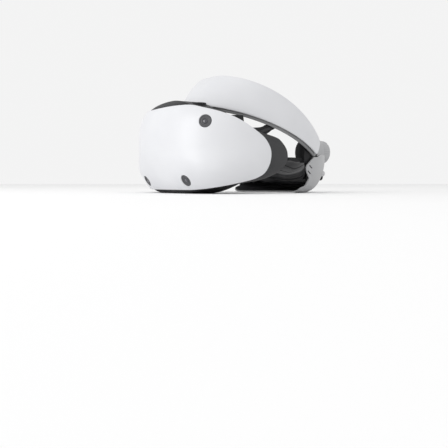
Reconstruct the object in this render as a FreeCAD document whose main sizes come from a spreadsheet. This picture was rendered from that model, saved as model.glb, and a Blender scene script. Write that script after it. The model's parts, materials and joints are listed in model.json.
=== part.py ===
import FreeCAD, Part
import math
import os

os.makedirs("parts", exist_ok=True)
doc = FreeCAD.newDocument("headset")
V = FreeCAD.Vector

# ---------------------------------------------------------------- driving dimensions (mm)
SIZES = [
    ("visor_half_width", 103.5, "visor outer surface, half width"),
    ("visor_depth", 118.5, "visor outer surface, front to its widest section"),
    ("visor_widest_y", -6.0, "y of the visor's widest section"),
    ("visor_mid_height", 51.0, "height of the visor's fullest section"),
    ("shell_wall", 2.2, "white front shell wall"),
    ("cover_gap", 2.6, "front face of the shell to the black covers"),
    ("cover_wall", 2.2, "black cover wall"),
    ("chassis_gap", 5.2, "front face of the shell to the chassis"),
    ("chassis_wall", 2.0, "chassis wall"),
    ("roof_height", 107.4, "crown of the visor's top cover"),
    ("roof_radius", 150.0, "roof arch radius"),
    ("belly_radius", 260.0, "underside arch radius"),
    ("band_half_width", 84.0, "headband plan ellipse, half width"),
    ("band_half_length", 96.0, "headband plan ellipse, half length"),
    ("band_centre_y", 18.0, "headband plan ellipse centre"),
    ("band_front_low", 104.0, "band lower edge at the forehead"),
    ("band_front_top", 139.6, "band upper edge at the forehead"),
    ("band_wall", 2.2, "band shell wall"),
    ("frame_wall", 2.6, "band inner frame wall"),
    ("eye_height", 51.0, "height of the lens centres"),
    ("lens_spacing", 65.0, "distance between lens centres at rest"),
    ("barrel_radius", 21.0, "lens barrel outer radius"),
    ("barrel_wall", 1.6, "lens barrel wall"),
    ("barrel_length", 26.0, "lens barrel length"),
    ("lens_radius", 19.2, "lens radius"),
    ("lens_thick", 8.0, "lens thickness"),
    ("panel_side", 38.0, "display panel side"),
    ("panel_thick", 2.5, "display panel thickness"),
    ("rod_radius", 1.5, "guide rod radius"),
    ("rod_length", 112.0, "guide rod length"),
    ("running_fit", 0.05, "radial clearance of running fits"),
    ("rail_radius", 2.0, "visor rail radius"),
    ("rail_length", 41.5, "visor rail length"),
    ("rail_spread", 22.0, "visor rail distance from the mid plane"),
    ("rail_height", 92.0, "visor rail height"),
    ("camera_radius", 6.9, "tracking camera radius"),
    ("camera_depth", 7.5, "tracking camera depth"),
    ("dial_radius", 16.0, "adjusting dial radius"),
    ("dial_depth", 16.0, "adjusting dial depth"),
    ("dial_height", 54.0, "adjusting dial centre height"),
    ("dial_back", 137.5, "y of the dial's rear face"),
    ("button_radius", 7.5, "dial release button radius"),
    ("shaft_radius", 3.5, "dial shaft radius"),
    ("jack_radius", 1.8, "earphone socket bore radius"),
    ("jack_length", 14.0, "earphone socket bore length"),
    ("gland_radius", 2.6, "cable gland bore radius"),
    ("gland_length", 12.0, "cable gland length"),
    ("knob_radius", 8.0, "lens-spacing dial radius"),
    ("pinion_radius", 3.0, "lens-spacing pinion pitch radius"),
    ("board_thick", 1.6, "circuit board thickness"),
    ("fan_radius", 15.0, "fan rotor radius"),
    ("origin_back", 6.5, "drawing origin to the middle of the headset's length"),
]
sheet = doc.addObject("Spreadsheet::Sheet", "Sizes")
for row, (alias, value, note) in enumerate(SIZES, start=1):
    sheet.set("A%d" % row, alias)
    sheet.set("B%d" % row, str(value))
    sheet.set("C%d" % row, note)
    sheet.setAlias("B%d" % row, alias)
doc.recompute()


def size(alias):
    return float(sheet.get(alias))


nodes = []


def node(item, label=None):
    """Mark a document object as one of the headset's pieces."""
    if label:
        item.Label = label
    nodes.append(item)
    return item


# ---------------------------------------------------------------- document object helpers
TURN_TO = {
    "X": FreeCAD.Rotation(V(0, 1, 0), 90),
    "Y": FreeCAD.Rotation(V(1, 0, 0), -90),
    "Z": FreeCAD.Rotation(),
}


def cylinder(label, radius, height, at, axis="Z"):
    item = doc.addObject("Part::Cylinder", label)
    item.setExpression("Radius", str(radius))
    item.setExpression("Height", str(height))
    item.Placement = FreeCAD.Placement(V(*at), TURN_TO[axis])
    return item


def block(label, length, width, height, at):
    item = doc.addObject("Part::Box", label)
    item.setExpression("Length", str(length))
    item.setExpression("Width", str(width))
    item.setExpression("Height", str(height))
    item.Placement = FreeCAD.Placement(V(*at), FreeCAD.Rotation())
    return item


def cut(label, base, tool):
    item = doc.addObject("Part::Cut", label)
    item.Base = base
    item.Tool = tool
    return item


def fuse(label, *shapes):
    item = doc.addObject("Part::MultiFuse", label)
    item.Shapes = list(shapes)
    return item


def freeform(label, shape):
    item = doc.addObject("Part::Feature", label)
    item.Shape = shape
    return item


def box_shape(low, high):
    return Part.makeBox(high[0] - low[0], high[1] - low[1], high[2] - low[2], V(*low))


def rod_shape(radius, start, end):
    run = V(*end) - V(*start)
    return Part.makeCylinder(radius, run.Length, V(*start), run)


# ---------------------------------------------------------------- visor surface
UPPER = {"reach": 69.5, "power": 3.6}
LOWER = {"reach": 116.5, "power": 1.55}
PLAN_POWER, CHIN_POWER, CHIN_DROP = 2.8, 4.0, 30.0


def plan_outline(height, inset=0.0):
    """Half width, depth and roundness power of the visor's plan outline at a height."""
    rise = height - size("visor_mid_height")
    end = UPPER if rise > 0 else LOWER
    scale = (1 - min(abs(rise) / end["reach"], 1) ** end["power"]) ** (1 / end["power"])
    drop = min(max(-rise, 0) / CHIN_DROP, 1)
    power = PLAN_POWER + (CHIN_POWER - PLAN_POWER) * drop ** 2 * (3 - 2 * drop)
    return size("visor_half_width") * scale - inset, size("visor_depth") * scale - inset, power


def visor_front_y(across, height, inset=0.0):
    half, depth, power = plan_outline(height, inset)
    share = 1 - (abs(across) / half) ** power
    return size("visor_widest_y") - depth * max(share, 0) ** (1 / power)


def visor_section(height, inset, back):
    half, depth, power = plan_outline(height, inset)
    points = []
    for step in range(-8, 9):
        angle = math.radians(11.25 * step)
        across = half * math.copysign(abs(math.sin(angle)) ** (2 / power), math.sin(angle))
        forward = depth * abs(math.cos(angle)) ** (2 / power)
        points.append(V(across, size("visor_widest_y") - forward, height))
    curve = Part.BSplineCurve()
    curve.interpolate(points)
    low, high = V(half, back, height), V(-half, back, height)
    back_lines = [Part.makeLine(points[-1], low), Part.makeLine(low, high), Part.makeLine(high, points[0])]
    return Part.Wire([curve.toShape()] + back_lines)


def visor_solid(inset, bottom=-2.0, top=110.0, levels=9, back=20.0):
    heights = [bottom + (top - bottom) * i / (levels - 1) for i in range(levels)]
    return Part.makeLoft([visor_section(z, inset, back) for z in heights], True, False)


# side outline of the white shell's rear rim, from the top round the cheek to the chin (y, z)
RIM = [(-114.5, 98.8), (-108, 98.0), (-100.2, 94.0), (-83, 87.3), (-69.2, 80.5), (-53.6, 70.7),
       (-39.2, 59.4), (-32, 44), (-35.2, 24.7), (-46.7, 17), (-70.1, 11.2), (-92, 6.5), (-103, 4.2)]


def rim_prism(grow=0.0, reach=0.0):
    """Everything in front of the rim outline, grown up and back by the two amounts."""
    mid = size("visor_mid_height")
    points = []
    for y, z in RIM:
        lift = math.copysign(grow, z - mid) * min(abs(z - mid) / 12, 1)
        points.append(V(-130, y + reach, z + lift))
    curve = Part.BSplineCurve()
    curve.interpolate(points)
    first, last = points[0], points[-1]
    corners = [last, V(-130, -150, last.z), V(-130, -150, first.z), first]
    edges = [curve.toShape()] + [Part.makeLine(a, b) for a, b in zip(corners, corners[1:])]
    return Part.Face(Part.Wire(edges)).extrude(V(260, 0, 0))


BELLY_DIP = 1.5  # the underside arch is cut flat this far above its lowest line, to stand on


def arch_limits():
    """The volume between the visor's roof arch and its underside arch."""
    roof_axis = V(0, -160, size("roof_height") - size("roof_radius"))
    belly_axis = V(0, -160, size("belly_radius") - BELLY_DIP)
    roof = Part.makeCylinder(size("roof_radius"), 200, roof_axis, V(0, 1, 0))
    belly = Part.makeCylinder(size("belly_radius"), 200, belly_axis, V(0, 1, 0))
    return roof.common(belly).common(box_shape((-120, -160, 0), (120, 40, 120)))


outer = visor_solid(0)
camera_spots = {}
for level, (across, height) in {"upper": (76.0, 78.8), "lower": (47.5, 14.5)}.items():
    for side, sign in {"left": 1, "right": -1}.items():
        y = visor_front_y(across, height)
        step = 0.5
        slope_x = (visor_front_y(across + step, height) - visor_front_y(across - step, height)) / (2 * step)
        slope_z = (visor_front_y(across, height + step) - visor_front_y(across, height - step)) / (2 * step)
        normal = V(sign * slope_x, -1, slope_z).normalize()
        camera_spots[level + "_" + side] = (V(sign * across, y, height), normal)

front = outer.cut(visor_solid(size("shell_wall"), -4.0)).common(rim_prism())
for spot, normal in camera_spots.values():
    front = front.cut(Part.makeCylinder(size("camera_radius") + 0.2, 14, spot - normal * 8, normal))
node(freeform("visor_front_shell", front))

cover_outer = visor_solid(size("cover_gap"))
cover_inner = visor_solid(size("cover_gap") + size("cover_wall"), -4.0)
inner_arches = arch_limits()
inner_arches.translate(V(0, 0, -size("cover_wall")))
cover_room = rim_prism(3.6, 1.0).fuse(box_shape((-130, -150, 90), (130, -79.5, 120)))
cover_room = cover_room.fuse(box_shape((-130, -150, -5), (130, -60, 14)))
bounded = cover_outer.common(arch_limits()).common(cover_room)
roof_zone = box_shape((-130, -150, 86), (130, -62, 120)).cut(box_shape((-62, -79.5, 80), (62, -50, 120)))
top_hollow = cover_inner.common(inner_arches)
top_cover = bounded.common(roof_zone).cut(top_hollow)
knob_x, knob_y = 42.0, -88.5
knob_hole = rod_shape(size("knob_radius") + 0.4, (knob_x, knob_y, 90), (knob_x, knob_y, 115))
release_hole = rod_shape(6.4, (-knob_x, knob_y, 90), (-knob_x, knob_y, 115))
top_cover = top_cover.cut(knob_hole).cut(release_hole)
node(freeform("visor_top_cover", top_cover))

belly_hollow = arch_limits()
belly_hollow.translate(V(0, 0, size("cover_wall")))
belly_zone = box_shape((-130, -150, -1), (130, -60, 12))
bottom_cover = bounded.common(belly_zone).cut(cover_inner.common(belly_hollow))
for across in (-14.0, 14.0):
    bottom_cover = bottom_cover.cut(rod_shape(4.3, (across, -90, -2), (across, -90, 8)))
camera_bores = []
for spot, normal in camera_spots.values():
    bore = Part.makeCylinder(size("camera_radius") + 0.2, 20, spot - normal * 14, normal)
    camera_bores.append(bore)
bottom_cover = bottom_cover.cut(camera_bores)
node(freeform("visor_bottom_cover", bottom_cover))

chassis_core = visor_solid(size("chassis_gap") + size("chassis_wall"), -4.0)
chassis_shape = visor_solid(size("chassis_gap")).cut(chassis_core)
chassis_shape = chassis_shape.common(box_shape((-130, -150, 12.2), (130, -62, 85.8)))
chassis_shape = chassis_shape.cut(camera_bores)
node(freeform("visor_chassis", chassis_shape))

# ---------------------------------------------------------------- tracking cameras
for name, (spot, normal) in camera_spots.items():
    radius, depth = size("camera_radius"), size("camera_depth")
    seat = spot - normal * (depth - 0.4)
    housing = Part.makeCylinder(radius, depth, seat, normal)
    housing = housing.cut(Part.makeCylinder(radius * 0.72, 1.6, spot - normal * 1.0, normal))
    node(freeform("camera_" + name, housing))
windows = []
for spot, normal in camera_spots.values():
    windows.append(Part.makeCylinder(size("camera_radius") * 0.72 - 0.05, 1.0, spot - normal * 1.0, normal))
node(freeform("camera_windows", Part.makeCompound(windows)))

# ---------------------------------------------------------------- eye plate, shield and lens modules
EYE_FACE_Y = -73.0
eye_z = size("eye_height")
half_spacing = size("lens_spacing") / 2
plate_room = box_shape((-130, -76, 12.2), (130, EYE_FACE_Y, 84))
plate = visor_solid(size("chassis_gap") + size("chassis_wall")).common(plate_room)
for sign in (-1, 1):
    eye_x = sign * half_spacing
    plate = plate.cut(box_shape((eye_x - 26, -80, eye_z - 22.5), (eye_x + 26, -70, eye_z + 22.5)))
plate = plate.fuse(box_shape((-4, -76, eye_z - 23), (4, EYE_FACE_Y, eye_z + 23)))
rod_posts = []
for sign in (-1, 1):
    for rise in (-26.0, 26.0):
        low_x, high_x = sorted((sign * 51.0, sign * 56.0))
        rod_posts.append(box_shape((low_x, -91, eye_z + rise - 3), (high_x, -75, eye_z + rise + 3)))
for rise in (-26.0, 26.0):
    rod = rod_shape(size("rod_radius"), (-60, -88, eye_z + rise), (60, -88, eye_z + rise))
    rod_posts = [post.cut(rod) for post in rod_posts]
plate = plate.fuse(rod_posts).cut(chassis_shape)
node(freeform("eye_plate", max(plate.Solids, key=lambda s: s.Volume)))


def ring_section(y, half, low, high, power):
    """A rounded closed outline across the headset at one depth."""
    points = []
    count = 20
    for step in range(count):
        angle = 2 * math.pi * step / count
        across = half * math.copysign(abs(math.sin(angle)) ** (2 / power), math.sin(angle))
        rise = math.copysign(abs(math.cos(angle)) ** (2 / power), math.cos(angle))
        points.append(V(across, y, (low + high) / 2 + rise * (high - low) / 2))
    curve = Part.BSplineCurve()
    curve.interpolate(points, PeriodicFlag=True)
    return Part.Wire([curve.toShape()])


# light shield sections: y, half width, underside height, top height
SHIELD = [(EYE_FACE_Y, 75.5, 12.0, 83.0), (-45.0, 80.0, 8.5, 83.0), (-15.0, 81.0, 9.0, 82.0),
          (12.0, 80.0, 16.0, 76.0)]
SHIELD_POWER = 2.8


def shield_tube(wall):
    rings = []
    for y, half, low, high in SHIELD:
        rings.append(ring_section(y, half - wall, low + wall, high - wall, SHIELD_POWER))
    return Part.makeLoft(rings, True, False)


def head_prism(factor, low, high):
    half_length, half_width = size("band_half_length") * factor, size("band_half_width") * factor
    ellipse = Part.Ellipse(V(0, 0, 0), half_length, half_width).toShape()
    face = Part.Face(Part.Wire([ellipse])).extrude(V(0, 0, high - low))
    face.rotate(V(0, 0, 0), V(0, 0, 1), 90)
    face.translate(V(0, size("band_centre_y"), low))
    return face


# side outline of the shield's edge against the face, from its top to its underside (y, z)
SHIELD_SIDE = [(-74, 85), (-40, 79), (-17, 70), (-4, 66), (4, 57), (9, 46), (7, 33), (-6, 19.6), (-36, 11.3),
               (-74, 9)]
side_curve = Part.BSplineCurve()
side_curve.interpolate([V(-100, y, z) for y, z in SHIELD_SIDE])
side_face = Part.Face(Part.Wire([side_curve.toShape(), Part.makeLine(V(-100, -74, 9), V(-100, -74, 85))]))
shield = shield_tube(0).cut(shield_tube(2.4)).common(side_face.extrude(V(200, 0, 0)))
shield = shield.cut(head_prism(0.80, 0, 140))
nose = rod_shape(17, (0, EYE_FACE_Y + 6, 12), (0, 20, 12))
shield = shield.cut(nose)

# ---------------------------------------------------------------- pieces wrapped round the head


def wrap_point(radius, theta, height):
    """A point at a share of the band's plan ellipse; theta 0 is the forehead, 180 the back."""
    angle = math.radians(theta)
    x = radius * size("band_half_width") * math.sin(angle)
    y = size("band_centre_y") - radius * size("band_half_length") * math.cos(angle)
    return V(x, y, height)


def wrap(profile, first, last, count):
    """Loft closed profiles round the head. profile(theta) gives a row of (radius, height) sides."""
    wires = []
    for step in range(count):
        theta = first + (last - first) * step / (count - 1)
        edges = []
        for side in profile(theta):
            points = [wrap_point(radius, theta, height) for radius, height in side]
            if len(points) == 2:
                edges.append(Part.makeLine(*points))
            else:
                curve = Part.BSplineCurve()
                curve.interpolate(points)
                edges.append(curve.toShape())
        wires.append(Part.Wire(edges))
    return Part.makeLoft(wires, True, False)


def sleeve_profile(line, near, far):
    """Close a profile between two offsets, in mm, inside a (radius, height) line."""
    scale = 90.0
    sides = []
    for depth in (near, far):
        moved = []
        for i, (radius, height) in enumerate(line):
            before, after = line[max(i - 1, 0)], line[min(i + 1, len(line) - 1)]
            run, rise = (after[0] - before[0]) * scale, after[1] - before[1]
            length = math.hypot(run, rise)
            moved.append((radius - depth * rise / length / scale, height + depth * run / length))
        sides.append(moved)
    front_side, back_side = sides[0], sides[1][::-1]
    return [front_side, [front_side[-1], back_side[0]], back_side, [back_side[-1], front_side[0]]]


BAND_END = 120.0
TAIL_START = 114.0


def band_low(theta):
    turn = abs(theta)
    tail = max(turn - TAIL_START, 0.0)
    return size("band_front_low") - 56.0 * (turn / TAIL_START) ** 1.9 + 1.02 * tail ** 1.6


def band_top(theta):
    return size("band_front_top") - 70.0 * (abs(theta) / BAND_END) ** 2.6


def band_line(theta):
    """Outer face of the band from its lower edge to its upper edge, leaning in like a cap."""
    low, top = band_low(theta), band_top(theta)
    lean = 0.305 - 0.275 * abs(theta) / BAND_END
    line = []
    for step in range(5):
        share = step / 4.0
        sweep = math.radians(90 * share)
        inward = lean * (0.5 * share + 0.5 * (1 - math.cos(sweep)))
        line.append((1 - inward, low + (top - low) * (0.72 * share + 0.28 * math.sin(sweep))))
    return line


def band_profile(theta):
    return sleeve_profile(band_line(theta), 0, size("band_wall"))


band_shell = wrap(band_profile, -BAND_END, BAND_END, 27)
node(freeform("band_outer_shell", band_shell))


def frame_line(theta):
    line = band_line(theta)
    run = line[0]
    return [(run[0] - 0.004, run[1] - 3.4)] + line


FRAME_GAP = 2.9  # from the band's outer face to its inner frame


def frame_profile(theta):
    return sleeve_profile(frame_line(theta), FRAME_GAP, FRAME_GAP + size("frame_wall"))


frame_shape = wrap(frame_profile, -BAND_END + 1, BAND_END - 1, 25)
frame_shape = max(frame_shape.cut(band_shell).Solids, key=lambda s: s.Volume)


# forehead pad: turn from the forehead, height of its middle, half its height
PAD_RUN = [(0, 98.0, 20.0), (25, 90.0, 17.0), (40, 76.0, 13.5), (50, 69.0, 11.0), (60, 69.5, 8.6),
           (68, 74.0, 7.8), (78, 81.0, 5.6)]


def between(table, column, at):
    """Smooth value of one column of a table whose first column rises."""
    at = min(max(at, table[0][0]), table[-1][0])
    i = max(k for k in range(len(table) - 1) if table[k][0] <= at)
    share = (at - table[i][0]) / (table[i + 1][0] - table[i][0])

    def slope(k):
        before, after = table[max(k - 1, 0)], table[min(k + 1, len(table) - 1)]
        return (after[column] - before[column]) / (after[0] - before[0])

    span = table[i + 1][0] - table[i][0]
    start, end = table[i][column], table[i + 1][column]
    rise = 3 * share ** 2 - 2 * share ** 3
    leave = share * (1 - share) ** 2 * span * slope(i)
    arrive = share ** 2 * (share - 1) * span * slope(i + 1)
    return start + (end - start) * rise + leave + arrive


def pad_section(theta, room=0.0):
    """Forehead pad: deep over the brow, running down and back to narrow wings that rise into the band."""
    share = abs(theta) / 78.0
    middle, half = between(PAD_RUN, 1, abs(theta)), between(PAD_RUN, 2, abs(theta)) + room
    low, top = middle - half, middle + half
    face, back = 0.80 + 0.04 * share - room * 0.05, 0.895 + 0.015 * share + room * 0.01
    lean = 0.0016 * (top - 92) if top > 92 else 0
    return [[(back, low), (back, top)], [(back, top), (face - lean, top)],
            [(face - lean, top), (face, low)], [(face, low), (back, low)]]


forehead_pad = wrap(pad_section, -78, 78, 27)
pad_room = wrap(lambda theta: pad_section(theta, 2.0), -82, 82, 27)
# the shield draws forward with the visor, so it clears the pad all along its travel
for forward in (0, 4, 8, 12, 16, 20, 25, 30):
    shield = shield.cut(pad_room.translated(V(0, forward, 0)))
node(freeform("light_shield", max(shield.Solids, key=lambda s: s.Volume)))
clip_room = box_shape((-90, EYE_FACE_Y, 5), (90, EYE_FACE_Y + 3, 90))
node(freeform("shield_clip_frame", shield_tube(2.7).cut(shield_tube(5.0)).common(clip_room)))

# visor slide bracket and rails
rail_z = size("rail_height")
spread = size("rail_spread")
RAIL_BACK = -69.5
bracket = box_shape((-30, -73, 86), (30, RAIL_BACK, 98)).cut(box_shape((-12, -80, 80), (12, -60, 95)))
bracket = bracket.fuse(box_shape((-24, -73, 95.5), (24, -65.5, 118)).common(head_prism(0.95, 90, 130)))
frame_clear = band_shell.fuse(frame_shape)
bracket_solid = max(bracket.cut(frame_clear).Solids, key=lambda s: s.Volume)
for sign in (-1, 1):
    rail_start, rail_end = (sign * spread, -80, rail_z), (sign * spread, -60, rail_z)
    bracket_solid = bracket_solid.cut(rod_shape(size("rail_radius"), rail_start, rail_end))
node(freeform("slide_bracket", bracket_solid))
node(freeform("band_inner_frame", frame_shape))
forehead_pad = forehead_pad.cut(frame_clear).cut(bracket)
node(freeform("forehead_pad", max(forehead_pad.Solids, key=lambda s: s.Volume)))
for side, sign in {"left": 1, "right": -1}.items():
    node(cylinder("rail_" + side, "Sizes.rail_radius", "Sizes.rail_length",
                  (sign * spread, RAIL_BACK - size("rail_length"), rail_z), "Y"))

carriage = block("carriage_block", "2 * Sizes.rail_spread + 14", 7.5, 7.6, (-spread - 7, -84, rail_z - 4))
carriage_bores = []
for sign in (-1, 1):
    bore_start = (sign * spread, -90, rail_z)
    bore = cylinder("carriage_bore", "Sizes.rail_radius + Sizes.running_fit", 20, bore_start, "Y")
    carriage_bores.append(bore)
node(cut("slide_carriage", carriage, fuse("carriage_bores", *carriage_bores)))


# ---------------------------------------------------------------- lens modules, which slide apart on two rods
ROD_Y = -88.0
BARREL_BACK = -68.0
barrel_front = BARREL_BACK - size("barrel_length")
lug_rise = size("barrel_radius") + 5.0
for side, sign in {"left": 1, "right": -1}.items():
    x = sign * half_spacing
    front = (x, barrel_front, eye_z)
    tube = cylinder("barrel_tube_" + side, "Sizes.barrel_radius", "Sizes.barrel_length", front, "Y")
    lugs = [block("lug_low_" + side, 12, 8, 11, (x - 6, ROD_Y - 4, eye_z - lug_rise - 4)),
            block("lug_high_" + side, 12, 8, 11, (x - 6, ROD_Y - 4, eye_z + lug_rise - 7))]
    inner_radius = "Sizes.barrel_radius - Sizes.barrel_wall"
    bore = cylinder("barrel_bore_" + side, inner_radius, 40, (x, -100, eye_z), "Y")
    eyes = []
    for rise in (-lug_rise, lug_rise):
        eye_start = (x - 10, ROD_Y, eye_z + rise)
        eye = cylinder("rod_eye_" + side, "Sizes.rod_radius + Sizes.running_fit", 20, eye_start, "X")
        eyes.append(eye)
    solid = fuse("barrel_solid_" + side, tube, *lugs)
    node(cut("lens_barrel_" + side, solid, fuse("barrel_holes_" + side, bore, *eyes)))
    lens_y = BARREL_BACK - size("lens_thick") - 2
    flat = cylinder("lens_blank_" + side, "Sizes.lens_radius", "Sizes.lens_thick", (x, lens_y, eye_z), "Y")
    dome = doc.addObject("Part::Sphere", "lens_dome_" + side)
    dome.Radius = 34
    dome.Placement.Base = V(x, lens_y - 34 + size("lens_thick"), eye_z)
    lens = doc.addObject("Part::MultiCommon", "lens_" + side)
    lens.Shapes = [flat, dome]
    node(lens)
    corner = size("panel_side") / 2
    node(block("display_panel_" + side, "Sizes.panel_side", "Sizes.panel_thick", "Sizes.panel_side",
               (x - corner, barrel_front - size("panel_thick"), eye_z - corner)))
    back = (x, BARREL_BACK, eye_z)
    ring_outer = cylinder("light_ring_outer_" + side, "Sizes.barrel_radius", 1.2, back, "Y")
    ring_inner = cylinder("light_ring_inner_" + side, "Sizes.lens_radius - 1", 1.2, back, "Y")
    node(cut("tracking_light_ring_" + side, ring_outer, ring_inner))
for name, rise in {"lower": -lug_rise, "upper": lug_rise}.items():
    rod_start = (-size("rod_length") / 2, ROD_Y, eye_z + rise)
    node(cylinder("guide_rod_" + name, "Sizes.rod_radius", "Sizes.rod_length", rod_start, "X"))

# lens racks run either side of the pinion under the spacing dial
pitch = size("pinion_radius")
rack_z = eye_z + lug_rise + 4.0
near_start = (half_spacing - 5, knob_y + pitch + 0.1, rack_z)
node(block("lens_rack_left", knob_x - half_spacing + 10, 2.4, 3, near_start))
far_start = (-half_spacing - 5, knob_y - pitch - 2.5, rack_z + 0.3)
far_bar = block("lens_rack_bar", knob_x + half_spacing + 10, 2.4, 2.7, far_start)
far_foot = block("lens_rack_foot", 8, 6, 3, (-half_spacing - 4, knob_y - pitch - 0.5, rack_z))
node(fuse("lens_rack_right", far_bar, far_foot))
knob = cylinder("knob_wheel", "Sizes.knob_radius", 6.5, (knob_x, knob_y, 95.5))
stem = cylinder("knob_stem", "Sizes.pinion_radius", 14.2, (knob_x, knob_y, 81.4))
node(fuse("lens_spacing_dial", knob, stem))
node(cylinder("visor_release_button", 6.0, 6.0, (-knob_x, knob_y, 96.5)))
node(cylinder("power_button", 4.0, 4.0, (-14, -90, 0.6)))
node(cylinder("function_button", 4.0, 4.0, (14, -90, 0.6)))

# ---------------------------------------------------------------- electronics in the visor
BOARD_Z = 52.0
board = doc.addObject("PartDesign::Body", "main_board")
sketch = board.newObject("Sketcher::SketchObject", "board_outline")
sketch.AttachmentSupport = (next(f for f in board.Origin.OriginFeatures if f.Role == "XY_Plane"), [""])
sketch.MapMode = "FlatFace"
corners = [V(-50, -24, 0), V(50, -24, 0), V(50, 24, 0), V(-50, 24, 0)]
for a, b in zip(corners, corners[1:] + corners[:1]):
    sketch.addGeometry(Part.LineSegment(a, b), False)
sketch.addGeometry(Part.Circle(V(0, 0, 0), V(0, 0, 1), 17), False)
screw_spots = [(x, z) for x in (-46, 46) for z in (-20, 20)]
for x, z in screw_spots:
    sketch.addGeometry(Part.Circle(V(x, z, 0), V(0, 0, 1), 1.3), False)
pad_feature = board.newObject("PartDesign::Pad", "board_pad")
pad_feature.Profile = sketch
pad_feature.setExpression("Length", "Sizes.board_thick")
board.Placement = FreeCAD.Placement(V(0, -101, BOARD_Z), FreeCAD.Rotation(V(1, 0, 0), 90))
node(board)

screws = []
for x, z in screw_spots:
    thread = rod_shape(1.2, (x, -103, BOARD_Z + z), (x, -97, BOARD_Z + z))
    head = rod_shape(2.2, (x, -104.2, BOARD_Z + z), (x, -102.6, BOARD_Z + z))
    screws.append(thread.fuse(head))
node(freeform("board_screws", Part.makeCompound(screws)))

sink_plate = box_shape((-43, -105, 32), (-19, -102.7, 72))
fins = [box_shape((-42 + 5 * i, -108, 34), (-41 + 5 * i, -105, 70)) for i in range(5)]
node(freeform("heat_sink", sink_plate.fuse(fins)))
fan_throat = rod_shape(size("fan_radius") + 1, (0, -111, BOARD_Z), (0, -99, BOARD_Z))
fan_pin = rod_shape(1.2, (0, -112, BOARD_Z), (0, -103.5, BOARD_Z))
fan_case = box_shape((-18, -112, 34), (18, -103, 70)).cut(fan_throat).fuse(fan_pin)
node(freeform("fan_housing", fan_case))
rotor = rod_shape(6, (0, -110, BOARD_Z), (0, -104, BOARD_Z))
for blade in range(7):
    vane = box_shape((4, -109, BOARD_Z - 0.6), (size("fan_radius"), -105, BOARD_Z + 0.6))
    vane.rotate(V(0, -107, BOARD_Z), V(0, 1, 0), 360.0 / 7 * blade)
    rotor = rotor.fuse(vane)
pin_bore = rod_shape(1.2 + size("running_fit"), (0, -113, BOARD_Z), (0, -100, BOARD_Z))
node(freeform("fan_rotor", rotor.cut(pin_bore)))
node(cylinder("rumble_motor", 4.5, 20, (-10, -97, 20), "X"))
node(cylinder("proximity_sensor", 2.0, 2, (0, EYE_FACE_Y, 70), "Y"))
node(cylinder("microphone", 2.0, 1.6, (-30, -100, 12.4)))

# ---------------------------------------------------------------- rear cradle, which draws back from the band
VENT_SLANT = 24.0  # degrees
BOWL = [(0.58, -0.9), (0.74, 1.2), (0.86, 8.0), (0.945, 20.0), (0.99, 34.0), (0.995, 47.0)]


def bowl_line(theta):
    """Outer face of the rear cradle: a deep scoop at the back that shallows towards its two ends."""
    share = min(abs(theta - 180) / 77.0, 1.0)
    lift = 9.0 * share ** 4
    row = []
    for r, z in BOWL:
        inward = (1 - r) * (1 - 0.45 * share ** 2) + 0.03 * share ** 3
        row.append((1 - inward, z + lift * (1 - z / 47.0)))
    return row


def bowl_profile(theta):
    return sleeve_profile(bowl_line(theta), 0, size("band_wall"))


def hub_wall_profile(theta):
    """The short wall that carries the dial above the scoop's rim."""
    return sleeve_profile([(1.0, 46.9), (1.0, 54.0), (0.995, 66.0)], 0, size("band_wall"))


rear = wrap(bowl_profile, 103, 257, 17)
rear_upper = wrap(hub_wall_profile, 166, 194, 7)
hub_y = size("dial_back") - size("dial_depth") - 0.5
dial_z = size("dial_height")
rear_solid = rear.fuse(rear_upper).common(box_shape((-100, 0, 0), (100, 130, 100)))
hub_hollow = rod_shape(17.6, (0, 100, dial_z), (0, hub_y - 2.4, dial_z))
hub_ring = rod_shape(20, (0, 104, dial_z), (0, hub_y, dial_z)).cut(hub_hollow)
opening = rod_shape(17.6, (0, 100, dial_z), (0, 118, dial_z))
rear_solid = rear_solid.cut(opening).fuse(hub_ring)
shaft_hole = rod_shape(size("shaft_radius") + size("running_fit"), (0, 90, dial_z), (0, 130, dial_z))
rear_solid = rear_solid.cut(shaft_hole)
jack_at = V(54, 82.5, 24)
gland_at = V(34, 99.0, 20)
for spot, radius in ((jack_at, size("jack_radius") + 1.6), (gland_at, size("gland_radius") + 2.0)):
    rear_solid = rear_solid.cut(Part.makeCylinder(radius, 40, spot, V(0, 1, 0)))
wing_room = box_shape((-100, 0, 43.9), (100, 62, 90))
rear_solid = rear_solid.cut(wing_room)
# two slanted vents in each side of the cradle, for the pads behind to breathe
for sign in (-1, 1):
    for vent_y, vent_z in ((45.0, 32.6), (42.5, 25.5)):
        vent = box_shape((0, -4.5, -0.9), (30, 4.5, 0.9))
        vent.rotate(V(0, 0, 0), V(1, 0, 0), VENT_SLANT)
        vent.translate(V(sign * 80 - 15, vent_y, vent_z))
        rear_solid = rear_solid.cut(vent)
node(freeform("rear_shell", max(rear_solid.Solids, key=lambda s: s.Volume)))

def rear_inner_profile(theta):
    return sleeve_profile([(0.86, 14.0), (0.90, 26.0), (0.915, 38.0), (0.915, 46.0)], 0, 2.0)


rear_inner = wrap(rear_inner_profile, 112, 248, 13)
back_plate = rod_shape(17.4, (0, 101.2, dial_z), (0, 103.2, dial_z))
rear_inner = rear_inner.fuse(back_plate).cut(shaft_hole).cut(wing_room).cut(rear_solid)
guide_room = box_shape((63.5, -10, 35.4), (78, 57.5, 63))
guide_room = guide_room.fuse(box_shape((-78, -10, 35.4), (-63.5, 57.5, 63)))
rear_inner = max(rear_inner.cut(guide_room).Solids, key=lambda s: s.Volume)
node(freeform("rear_inner_shell", rear_inner))


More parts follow.
